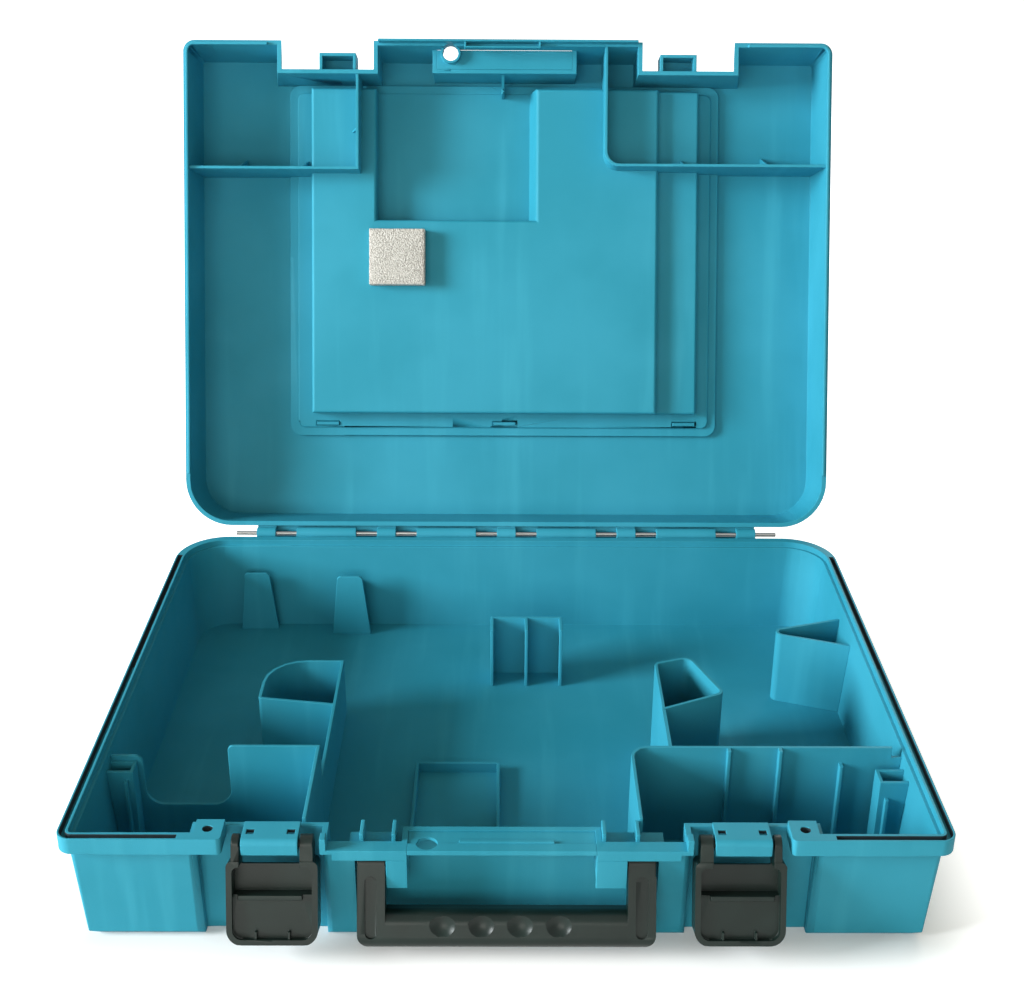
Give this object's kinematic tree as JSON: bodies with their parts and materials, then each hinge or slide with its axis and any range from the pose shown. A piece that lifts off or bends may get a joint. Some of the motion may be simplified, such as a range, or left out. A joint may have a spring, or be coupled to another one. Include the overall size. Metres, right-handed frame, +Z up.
{
  "type": "hard tool case",
  "caption": "Open moulded tool case with a pin-hinged lid, two swing latches, a folding carry handle, fitted pockets and dividers, and a foam pad in the lid.",
  "frame": {"origin": "centre of the base's flat underside", "axes": "+X to the right seen from the latches, +Y towards the hinge, +Z up; the latches and handle face -Y"},
  "size_m": [0.46, 0.5376, 0.3971],
  "materials": {
    "teal_plastic": "fine satin moulded polypropylene",
    "black_plastic": "satin moulded plastic",
    "steel": "plain drawn wire",
    "foam": "open cell foam"
  },
  "bodies": {
    "base": {"base_shell": "teal_plastic", "hand_ledge": "teal_plastic", "handle_mount_left": "teal_plastic", "handle_mount_right": "teal_plastic", "latch_bracket_left": "teal_plastic", "latch_bracket_right": "teal_plastic", "base_hinge_knuckles": "teal_plastic", "hinge_pin": "steel", "left_cradle": "teal_plastic", "left_post": "teal_plastic", "left_rear_pocket": "teal_plastic", "rear_tab_outer": "teal_plastic", "rear_tab_inner": "teal_plastic", "rib_stand": "teal_plastic", "right_pocket": "teal_plastic", "right_compartment": "teal_plastic", "right_post": "teal_plastic", "wall_pocket": "teal_plastic", "tray_frame": "teal_plastic", "front_ribs": "teal_plastic"},
    "lid": {"lid_shell": "teal_plastic", "lid_block": "teal_plastic", "lid_lock_plate": "teal_plastic", "lid_left_divider": "teal_plastic", "lid_right_divider": "teal_plastic", "keeper_loop_left": "teal_plastic", "keeper_loop_right": "teal_plastic", "lid_hinge_knuckles": "teal_plastic", "lid_outer_panel": "teal_plastic", "foam_pad": "foam"},
    "latch_left": {"latch_left": "black_plastic"},
    "latch_right": {"latch_right": "black_plastic"},
    "handle": {"handle": "black_plastic"}
  },
  "joints": [
    {"name": "lid_hinge", "type": "hinge", "parent": "base", "child": "lid", "pos_m": [0, 0.1775, 0.0705], "axis": [1, 0, 0], "range_deg": [0, 112]},
    {"name": "latch_left_pivot", "type": "hinge", "parent": "base", "child": "latch_left", "pos_m": [-0.1197, -0.1665, 0.064], "axis": [-1, 0, 0], "range_deg": [0, 160]},
    {"name": "latch_right_pivot", "type": "hinge", "parent": "base", "child": "latch_right", "pos_m": [0.1197, -0.1665, 0.064], "axis": [-1, 0, 0], "range_deg": [0, 160]},
    {"name": "handle_pivot", "type": "hinge", "parent": "base", "child": "handle", "pos_m": [0, -0.165, 0.051], "axis": [-1, 0, 0], "range_deg": [0, 68]}
  ]
}
